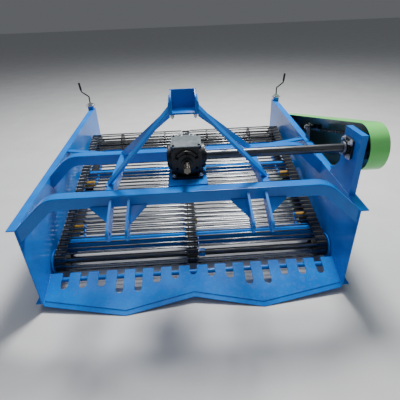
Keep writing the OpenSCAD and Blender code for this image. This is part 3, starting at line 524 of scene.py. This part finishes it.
# ---------------------------------------------------------------- Geometry Nodes
def start_tree(name, inputs):
    """A Geometry Nodes tree with a geometry in and out, named inputs and a finish."""
    tree = bpy.data.node_groups.new(name, "GeometryNodeTree")
    tree.interface.new_socket("Geometry", in_out="OUTPUT", socket_type="NodeSocketGeometry")
    tree.interface.new_socket("Geometry", in_out="INPUT", socket_type="NodeSocketGeometry")
    for label, kind in inputs.items():
        tree.interface.new_socket(label, in_out="INPUT", socket_type=kind)
    tree.interface.new_socket("Finish", in_out="INPUT", socket_type="NodeSocketMaterial")
    return tree, add(tree, "NodeGroupInput").outputs


def end_tree(tree, given, shape):
    """Ends a tree: makes its copies real and gives the shape its finish."""
    real = add(tree, "GeometryNodeRealizeInstances", {0: shape})
    finished = add(tree, "GeometryNodeSetMaterial", {"Geometry": real, "Material": given["Finish"]})
    add(tree, "NodeGroupOutput", {0: finished})
    return tree


def repeat_tree():
    """Puts a shape on each point, turned by the point's `turn` and scaled by its `size`."""
    tree, given = start_tree("repeat", {"Shape": "NodeSocketObject", "Size": "NodeSocketFloat"})
    shape = add(tree, "GeometryNodeObjectInfo", {"Object": given["Shape"]}).outputs["Geometry"]
    turn = add(tree, "GeometryNodeInputNamedAttribute", {"Name": "turn"}, data_type="FLOAT_VECTOR")
    size = add(tree, "GeometryNodeInputNamedAttribute", {"Name": "size"}, data_type="FLOAT")
    scale = add(tree, "ShaderNodeMath", {0: size, 1: given["Size"]}, operation="MULTIPLY")
    points = add(tree, "GeometryNodeMeshToPoints", {"Mesh": given["Geometry"]})
    turned = add(tree, "FunctionNodeEulerToRotation", {0: turn})
    copies = add(tree, "GeometryNodeInstanceOnPoints",
                 {"Points": points, "Instance": shape, "Rotation": turned, "Scale": scale})
    return end_tree(tree, given, copies)


def bead_tree():
    """A weld bead along a line: a round cord whose radius swells once for each ripple."""
    tree, given = start_tree("weld bead", {"Radius": "NodeSocketFloat",
                                           "Ripple": "NodeSocketFloat"})
    # About three rings to a ripple, each from 0.74 to 1.06 of the radius.
    third = add(tree, "ShaderNodeMath", {0: given["Ripple"], 1: 0.34}, operation="MULTIPLY")
    line = add(tree, "GeometryNodeResampleCurve", {"Curve": given["Geometry"], "Length": third},
               mode="LENGTH")
    along = add(tree, "GeometryNodeSplineParameter").outputs["Length"]
    count = add(tree, "ShaderNodeMath", {0: along, 1: given["Ripple"]}, operation="DIVIDE")
    angle = add(tree, "ShaderNodeMath", {0: count, 1: 2 * math.pi}, operation="MULTIPLY")
    wave = add(tree, "ShaderNodeMath", {0: angle}, operation="SINE")
    swell = add(tree, "ShaderNodeMath", {0: wave, 1: 0.16, 2: 0.9}, operation="MULTIPLY_ADD")
    radius = add(tree, "ShaderNodeMath", {0: swell, 1: given["Radius"]}, operation="MULTIPLY")
    ring = add(tree, "GeometryNodeCurvePrimitiveCircle", {"Resolution": 6, "Radius": 1.0})
    cord = add(tree, "GeometryNodeCurveToMesh",
               {"Curve": line, "Profile Curve": ring, "Scale": radius, "Fill Caps": True})
    return end_tree(tree, given, cord)


REPEAT = repeat_tree()
BEAD = bead_tree()


def run_tree(item, tree, values):
    """Gives an object a tree with its inputs set, and returns the mesh that comes out."""
    modifier = item.modifiers.new("tree", "NODES")
    modifier.node_group = tree
    for socket in tree.interface.items_tree:
        if socket.in_out == "INPUT" and socket.name in values:
            modifier[socket.identifier] = values[socket.name]
    return evaluated(item)


def repeated(name, shape, rows, size, material, body="frame", stands_for=()):
    """One piece from a shape put at each row: (place, Euler turn, scale)."""
    points = bpy.data.meshes.new("rows")
    points.from_pydata([tuple(row[0]) for row in rows], [], [])
    turns = points.attributes.new("turn", "FLOAT_VECTOR", "POINT")
    turns.data.foreach_set("vector", [angle for row in rows for angle in row[1]])
    sizes = points.attributes.new("size", "FLOAT", "POINT")
    sizes.data.foreach_set("value", [row[2] for row in rows])
    pattern = placed("pattern", shape)
    mesh = run_tree(placed("rows", points), REPEAT,
                    {"Shape": pattern, "Size": size, "Finish": material})
    bpy.data.objects.remove(pattern)
    piece(name, smooth(mesh, SHARP_TURNED), material, body, stands_for)


def pitched(places, across=(0.0,)):
    """Rows for a shape that turns about X only, from (place, turn) pairs, at each x across."""
    return [(place + Vector((x, 0, 0)), Euler((turn, 0, 0)), 1.0)
            for place, turn in places for x in across]


def bolted(name, rows, material=zinc_plate, body="frame", shape=bolt_shape):
    """Bolt heads from rows of (place, direction, width across flats in mm). Each is turned on by
    0.4 radians from the one before, since no fitter lines them up."""
    turned = []
    for i, (place, direction, width) in enumerate(rows):
        turn = Vector(direction).to_track_quat("Z", "Y").to_matrix()
        turned.append((place, (turn @ Matrix.Rotation(0.4 * i, 3, "Z")).to_euler(), width))
    repeated(name, shape(), turned, MM, material, body)


def welded(name, lines, radius):
    """Weld beads along lines of places, in ripples of 7 mm; radius in mm."""
    curve = bpy.data.curves.new(name, "CURVE")
    curve.dimensions = "3D"
    for line in lines:
        spline = curve.splines.new("POLY")
        spline.points.add(len(line) - 1)
        for point, place in zip(spline.points, line):
            point.co = (*place, 1.0)
    mesh = run_tree(placed(name, curve), BEAD,
                    {"Radius": radius * MM, "Ripple": 7 * MM, "Finish": blue_enamel})
    piece(name, smooth(mesh), blue_enamel)


def both(lines):
    """Lines of places with their mirror images on the left."""
    mirror = Matrix.Diagonal((-1, 1, 1))
    return lines + [[mirror @ place for place in line] for line in lines]


def circle(centre, radius, count, axis="X", start=0.0):
    """Places round a circle across an axis."""
    result = []
    for i in range(count):
        angle = start + 2 * math.pi * i / count
        u, v = radius * math.cos(angle), radius * math.sin(angle)
        result.append(centre + Vector({"X": (0, u, v), "Y": (u, 0, v), "Z": (u, v, 0)}[axis]))
    return result


def square(centre, half):
    """Places at the four corners of a square across X."""
    return [centre + Vector((0, u * half, v * half)) for u in (-1, 1) for v in (-1, 1)]


# ---------------------------------------------------------------- the nodes' own shapes, finished
# Each with the radius of its edges in mm.
for node, edge in (
        ("side_left", 1.2), ("side_right", 1.2), ("front_beam", 5), ("rear_beam", 5),
        ("beam_braces", 1.5), ("rails", 4), ("share", 1.0), ("share_bar", 0),
        ("main_cross_tube", 5), ("rear_cross_tube", 4), ("tail_tube", 4),
        ("top_link_bracket", 1.0), ("mast_legs", 1.6), ("mast_stays", 1.6),
        ("hitch_plates_left", 1.2), ("hitch_plates_right", 1.2), ("gearbox_cradle", 1.5),
        ("gearbox", 1.6), ("gearbox_cover", 1.0), ("input_shaft", 0.4), ("cross_shaft", 0.8),
        ("bearing_stand", 1.2), ("stand_bearing", 1.2), ("chain_tensioner", 0.8),
        ("chain_guard", 1.2), ("guard_brackets", 0.8), ("idler_roller", 0.8),
        ("idler_discs", 1.0), ("drive_roller", 0.6), ("roller_bearings", 1.2),
        ("web_belts", 1.2), ("support_rollers", 2.5), ("roller_arms", 0.8), ("centre_arm", 0.8),
        ("leg_sleeves", 3), ("depth_cranks", 0.8), ("leg_left", 2.5), ("leg_right", 2.5),
        ("wheel_left", 1.2), ("wheel_right", 1.2), ("upper_sprocket", 0.8),
        ("lower_sprocket", 0.8)):
    dressed(node, edge * MM)


# ---------------------------------------------------------------- the web
def loop_places(first, first_r, second, second_r, pitch, offset=0.0, lift=0.0):
    """Places and slopes at equal steps round a band on two wheels, seen from the side. All are
    moved along by an offset and outwards by a lift."""
    apart = second - first
    distance, slope = apart.length, math.atan2(apart.z, apart.y)
    lean = math.asin((second_r - first_r) / distance)
    run = distance * math.cos(lean)
    far, near = second_r * (math.pi + 2 * lean), first_r * (math.pi - 2 * lean)
    count = round((2 * run + far + near) / pitch)
    step = (2 * run + far + near) / count
    rows = []
    for i in range(count):
        # Over the upper run, round the second wheel, back along the lower run and round the
        # first: the wheel's centre and radius, the slope, and the way past the wheel.
        s = i * step + offset
        if s < run:
            centre, radius, turn, past = 0, first_r, lean, s
        elif s < run + far:
            centre, radius, turn, past = distance, second_r, lean - (s - run) / second_r, 0
        elif s < 2 * run + far:
            centre, radius, turn, past = distance, second_r, math.pi - lean, s - run - far
        else:
            turn = math.pi - lean - (s - 2 * run - far) / first_r
            centre, radius, past = 0, first_r, 0
        y = centre - (radius + lift) * math.sin(turn) + past * math.cos(turn)
        z = (radius + lift) * math.cos(turn) + past * math.sin(turn)
        rows.append((first + Matrix.Rotation(slope, 3, "X") @ Vector((0, y, z)), turn + slope))
    return rows


def web_places(offset=0.0, lift=0.0):
    """Places and slopes round the web, one for each rod."""
    return loop_places(IDLER, IDLER_RUN_R, DRIVEN, DRIVEN_RUN_R, ROD_PITCH, offset, lift)


def rod_shape():
    """One rod across the web: round, and forged flat where it lies on a belt."""
    sides = 10
    # The forged part is 22 mm wide, 4 mm thick and sunk to the belt; it runs out over 16 mm.
    flat_y, flat_z, sunk, taper = 11 * MM, 2 * MM, -3.3 * MM, 16 * MM
    # The power that squares the flat's section.
    squareness = 0.45
    half = [(BELT_W / 2, True), (BELT_W / 2 + taper, False), (WEB_X - BELT_W - taper, False),
            (WEB_X - BELT_W, True), (WEB_X, True)]
    work = bmesh.new()
    rings = []
    for x, flat in [(-x, flat) for x, flat in reversed(half)] + half:
        ring = []
        for i in range(sides):
            angle = 2 * math.pi * (i + 0.5) / sides
            c, s = math.cos(angle), math.sin(angle)
            if flat:
                ring.append(work.verts.new(
                    (x, flat_y * math.copysign(abs(c) ** squareness, c),
                     sunk + flat_z * math.copysign(abs(s) ** squareness, s))))
            else:
                ring.append(work.verts.new((x, ROD_R * c, ROD_R * s)))
        rings.append(ring)
    for low, high in zip(rings, rings[1:]):
        for i in range(sides):
            work.faces.new((low[i], low[(i + 1) % sides], high[(i + 1) % sides], high[i]))
    work.faces.new(rings[0])
    work.faces.new(rings[-1])
    bmesh.ops.recalc_face_normals(work, faces=work.faces)
    return meshed(work, "rod")


def cleat_shape():
    """A low moulded rib across a belt, 12 mm wide at its foot, 8 mm on top and 3 mm high."""
    outline = [(-6 * MM, -0.4 * MM), (6 * MM, -0.4 * MM), (4 * MM, 3 * MM), (-4 * MM, 3 * MM)]
    return plate(outline, BELT_W - 6 * MM)


repeated("web_rods_forged", rod_shape(), pitched(web_places()), 1.0, rod_steel,
         stands_for=["web_rods"])
# Two rivets of 10 mm, 36 mm apart, hold each rod to each belt.
rivet_x = [x + side * 18 * MM for x in BELT_X for side in (-1, 1)]
repeated("web_rivets", rivet_shape(), pitched(web_places(lift=-1.4 * MM), rivet_x), 10 * MM,
         black_oxide)
# A cleat stands on the belt's face, 5.5 mm inside the rods' middles, between two rods.
repeated("belt_cleats", cleat_shape(),
         pitched(web_places(offset=ROD_PITCH / 2, lift=-5.5 * MM), BELT_X), 1.0,
         belt_rubber)


# ---------------------------------------------------------------- chain and sprocket teeth
def pitch_radius(teeth):
    """The radius at which the chain's pins lie on a sprocket."""
    return CHAIN_PITCH / (2 * math.sin(math.pi / teeth))


def chain_places(offset=0.0):
    """Places and slopes round the chain, one for each link."""
    line = Vector((CHAIN_X, 0, 0))
    return loop_places(CROSS_SHAFT + line, pitch_radius(UPPER_TEETH), DRIVEN + line,
                       pitch_radius(LOWER_TEETH), CHAIN_PITCH, offset)


def link_shape(gap):
    """A pair of waisted link plates, 2.6 mm thick, a pitch long and a gap apart."""
    end_r, waist = 10 * MM, 7.5 * MM
    outline = []
    # Round the far end from 60 degrees above it to 60 below, in steps of 20.
    for i in range(7):
        angle = math.radians(60 - i * 20)
        outline.append((CHAIN_PITCH / 2 + end_r * math.cos(angle), end_r * math.sin(angle)))
    outline += [(0, -waist)]
    outline += [(-y, -z) for y, z in outline[:-1]] + [(0, waist)]
    plates = []
    for side in (-1, 1):
        half = plate(outline, 2.6 * MM)
        half.transform(Matrix.Translation((side * gap / 2, 0, 0)))
        plates.append(half)
    return joined(plates, "link")


def toothed_rim(teeth):
    """A sprocket's rim of teeth, 13.5 mm wide."""
    # How far each part of a tooth lies outside the pitch circle.
    root, flank, shoulder, tip = -8.2 * MM, -6.4 * MM, -1 * MM, 4.5 * MM
    outline = []
    for i in range(teeth):
        for share, out in ((-0.5, root), (-0.36, flank), (-0.22, shoulder), (-0.08, tip),
                           (0.08, tip), (0.22, shoulder), (0.36, flank)):
            radius = pitch_radius(teeth) + out
            angle = 2 * math.pi * (i + share) / teeth
            outline.append((radius * math.cos(angle), radius * math.sin(angle)))
    return plate(outline, 13.5 * MM)


links = pitched(chain_places(CHAIN_PITCH / 2))
repeated("chain_outer_links", link_shape(21 * MM), links[::2], 1.0, chain_steel,
         stands_for=["drive_chain"])
repeated("chain_inner_links", link_shape(15.4 * MM), links[1::2], 1.0, chain_steel)
# A pin of 7.8 mm through a roller of 15.8 mm.
pin = lathe([(0, -12), (3.6, -12), (3.9, -11.4), (3.9, -7), (7.9, -7), (7.9, 7), (3.9, 7),
             (3.9, 11.4), (3.6, 12), (0, 12)], 10, "X", MM)
repeated("chain_rollers", pin, pitched(chain_places()), 1.0, chain_steel)
for name, centre, teeth in (("upper_sprocket_teeth", CROSS_SHAFT, UPPER_TEETH),
                            ("lower_sprocket_teeth", DRIVEN, LOWER_TEETH)):
    rim = rounded(toothed_rim(teeth), 0.6 * MM)
    rim.transform(Matrix.Translation(centre + Vector((CHAIN_X, 0, 0))))
    piece(name, rim, chain_steel)


# ---------------------------------------------------------------- bolts and turned parts
cover_low, cover_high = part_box("gearbox_cover")
# The cover's corners, then the cap of the input shaft's bearing and the two of the cross shaft's.
gearbox_rows = [(Vector((x, y, cover_high.z - 4 * MM)), (0, 0, 1), 12)
                for x in (cover_low.x + 14 * MM, cover_high.x - 14 * MM)
                for y in (cover_low.y + 16 * MM, cover_high.y - 16 * MM)]
input_cap = Vector((0, at(0, 150, 0).y, CROSS_SHAFT.z))
gearbox_rows += [(place, (0, -1, 0), 8) for place in circle(input_cap, 58 * MM, 6, "Y", 0.52)]
for side in (-1, 1):
    shaft_cap = CROSS_SHAFT + Vector((side * 96 * MM, 0, 0))
    gearbox_rows += [(place, (side, 0, 0), 8) for place in circle(shaft_cap, 59 * MM, 6, "X", 0.52)]
bolted("gearbox_bolts", gearbox_rows, black_oxide)
bolted("gearbox_plugs", [(Vector((x, cover_high.y - 11 * MM, cover_high.z)), (0, 0, 1), 15)
                         for x in (-30 * MM, 33 * MM)], clean_zinc)
foot_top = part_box("gearbox")[0].z / MM + 16
bolted("gearbox_foot_bolts", [(at(x, y, foot_top), (0, 0, 1), 15)
                              for x in (-70, 70) for y in (146, 352)])

# The stand's bearing, the tensioner, and the cross shaft's locking collar against the bearing.
bearing = Vector((middle("stand_bearing").x, CROSS_SHAFT.y, CROSS_SHAFT.z))
stand_face = bearing - Vector((1.5 * MM, 0, 0))
bolted("stand_bolts", [(place, (-1, 0, 0), 19) for place in square(stand_face, FLANGE_BOLT)],
       clean_zinc)
bolted("tensioner_nut", [(at(907, 938.3, 734.6), (-1, 0, 0), 22)], collar_steel)
collar = lathe([(0, -15), (31, -15), (33, -17), (33, -26), (31, -28), (0, -28)], 32, "X", MM)
collar.transform(Matrix.Translation(bearing))
piece("locking_collar", collar, collar_steel)

flange = Vector((OUTER + 13 * MM, 0, 0))
bolted("bearing_bolts", [(place, (side, 0, 0), 16)
                         for centre in (IDLER, DRIVEN) for side in (-1, 1)
                         for place in square(centre + side * flange, FLANGE_BOLT)])

# The collars on the leg sleeves, the chain guard, the wheels and the top link bracket.
collar_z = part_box("leg_sleeves")[1].z + 9 * MM
bolted("collar_bolts", [(place, (0, 0, 1), 10) for side in (-1, 1)
                        for place in circle(Vector((side * 925 * MM, middle("leg_sleeves").y,
                                                    collar_z)), 33 * MM, 4, "Z", 0.78)])
guard_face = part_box("chain_guard")[1].x / MM
bolted("guard_bolts", [(at(guard_face, y, z), (1, 0, 0), 13)
                       for y, z in ((330, 860), (330, 800), (930, 640), (930, 580), (1500, 450),
                                    (1500, 390))])
wheel_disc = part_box("wheel_right")[0].x + 59 * MM
for side, body in ((-1, "wheel_left"), (1, "wheel_right")):
    hub = AXLE + Vector((side * wheel_disc, 0, 0))
    bolted(body + "_bolts", [(place, (side, 0, 0), 13) for place in circle(hub, 44 * MM, 5)],
           body=body)
bolted("bracket_bolts", [(at(side * 50, y, 1133), (0, 0, -1), 15)
                         for side in (-1, 1) for y in (-6, 66)], shape=nut_shape)

# The centre arm's hub round the idler's shaft, with its set bolt.
arm_hub = lathe([(0, 45), (22, 45), (27, 47), (27, 82), (24, 84), (0, 84)], 24, "X", MM)
arm_hub.transform(Matrix.Translation(IDLER))
piece("centre_arm_hub", arm_hub, blue_enamel)
bolted("centre_arm_bolt", [(IDLER + Vector((66 * MM, -15 * MM, 21 * MM)), (0, -0.58, 0.81), 13)])


# ---------------------------------------------------------------- welds
def tube_end(node, height=None):
    """The line round a tube's end, 1 mm inside the side plate; height where it isn't the box's."""
    low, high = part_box(node)
    top = low.z + height if height else high.z
    return [Vector((INNER - 1 * MM, y, z)) for y, z in (
        (low.y, low.z), (high.y, low.z), (high.y, top), (low.y, top), (low.y, low.z))]


weld_lines = [tube_end("main_cross_tube"), tube_end("rear_cross_tube"), tube_end("tail_tube"),
              tube_end("front_beam", 88 * MM), tube_end("rear_beam", 88 * MM)]
# Rails between the beams.
rail_low, rail_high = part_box("rails")
rail_x = rail_high.x - 36 * MM
for y in (rail_low.y + 1 * MM, rail_high.y - 1 * MM):
    weld_lines.append([Vector((rail_x, y, rail_low.z)), Vector((rail_x, y, rail_high.z)),
                       Vector((rail_high.x, y, rail_high.z)), Vector((rail_high.x, y, rail_low.z))])
welded("frame_welds", both(weld_lines), 3.4)
# Hitch plates and gussets on the front beam.
welded("hitch_welds", both([[at(x, 8, 723), at(x, 8, 678), at(x, 44, 678)]
                            for x in (290.5, 302.5, 380.5, 392.5)]), 3.2)
# The bracket's corners and lower edges, the mast's feet, and the legs' tops at the bracket.
welded("mast_welds", both([[at(58, -20, 1140), at(58, -20, 1186)],
                           [at(50, -16, 1141), at(50, 70, 1141)],
                           [at(396, 121, 743), at(428, 121, 743), at(430, 160, 743)],
                           [at(66, 20, 1163), at(66, 52, 1165)]]), 3.0)
# The share's ends, where they meet the side plates.
welded("share_welds", both([[at(893, 2, 42), at(893, 184, 113)]]), 4.5)
welded("stand_welds", [[at(x, 146, 588), at(x, 433, 605)] for x in (896, 905)], 3.2)
# The sleeves, up to 7 mm below the side plates' top.
sleeve_low, sleeve_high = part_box("leg_sleeves")
sleeve_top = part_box("side_right")[1].z - 7 * MM
welded("sleeve_welds", both([[Vector((OUTER + 1 * MM, y, sleeve_low.z)),
                              Vector((OUTER + 1 * MM, y, sleeve_top))]
                             for y in (sleeve_low.y, sleeve_high.y)]), 3.2)
cradle_low, cradle_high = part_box("gearbox_cradle")
welded("cradle_welds", both([[Vector((92 * MM, y, cradle_high.z - 12 * MM))
                              for y in (cradle_low.y + 1 * MM, cradle_high.y - 1 * MM)]]), 3.0)


# ---------------------------------------------------------------- floor, light and camera
floor = bpy.data.meshes.new("floor")
floor.from_pydata([(-40, -40, 0), (40, -40, 0), (40, 40, 0), (-40, 40, 0)], [], [(0, 1, 2, 3)])
floor.materials.append(floor_paint())
placed("floor", floor)


def area_light(name, place, target, size, watts, colour="#FFFFFF"):
    """A square lamp that looks from a place at a target, its size in metres."""
    lamp = bpy.data.lights.new(name, "AREA")
    lamp.size = size
    lamp.energy = watts
    lamp.color = linear(colour)[:3]
    holder = placed(name, lamp)
    holder.location = place
    holder.rotation_euler = (Vector(target) - Vector(place)).to_track_quat("-Z", "Y").to_euler()


area_light("key", (0.9, 1.9, 5.0), (0, 0, 0.4), 1.3, 440, "#FFFDF8")
area_light("sky", (-0.5, 1.2, 7.0), (0, 0.6, 0), 6.0, 190, "#F2F7FF")
area_light("front", (2.5, -4.5, 3.0), (0, 0, 0.5), 2.5, 8)

world = bpy.data.worlds.new("studio")
bpy.context.scene.world = world
world.use_nodes = True
connect(world.node_tree, world.node_tree.nodes["Background"],
        {"Color": linear("#E6EAF0"), "Strength": 0.15})

# The camera's directions: 30 degrees down, a little to the right, and rolled.
YAW, PITCH, ROLL = math.radians(1.93), math.radians(30.0), math.radians(-2.32)
forward = Vector((math.sin(YAW) * math.cos(PITCH), math.cos(YAW) * math.cos(PITCH),
                  -math.sin(PITCH)))
level = Vector((math.cos(YAW), -math.sin(YAW), 0))
upward = level.cross(forward)
right = level * math.cos(ROLL) + upward * math.sin(ROLL)
top = -level * math.sin(ROLL) + upward * math.cos(ROLL)
camera = placed("camera", bpy.data.cameras.new("camera"))
camera.data.lens = 29.52
camera.data.sensor_width = 36
camera.matrix_world = (Matrix.Translation(at(7, -1415, 1515))
                       @ Matrix((right, top, -forward)).transposed().to_4x4())
bpy.context.scene.camera = camera
